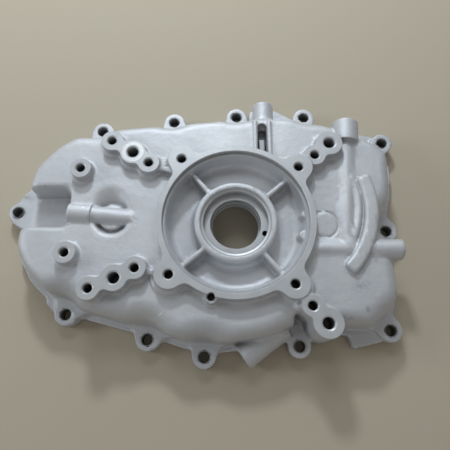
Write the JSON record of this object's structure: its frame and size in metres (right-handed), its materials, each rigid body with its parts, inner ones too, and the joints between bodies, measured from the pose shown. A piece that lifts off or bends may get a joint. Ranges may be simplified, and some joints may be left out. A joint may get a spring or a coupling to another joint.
{
  "type": "die cast housing",
  "caption": "Die cast aluminium engine side cover: hollow shell with bolt ears, pilot ring, bearing hub on ribs, threaded bosses and oil ports.",
  "frame": {"origin": "on the shaft axis at the gasket face, at the mouth of the bearing bore", "axes": "+Z along the shaft axis, out of the gasket face towards the pilot ring; +X along the cover, towards the side port; +Y towards the breather port"},
  "size_m": [0.337, 0.2287, 0.045],
  "materials": {
    "cast_aluminium": "blasted die casting with machined faces"
  },
  "bodies": {
    "root": {"housing": "cast_aluminium"}
  },
  "joints": []
}
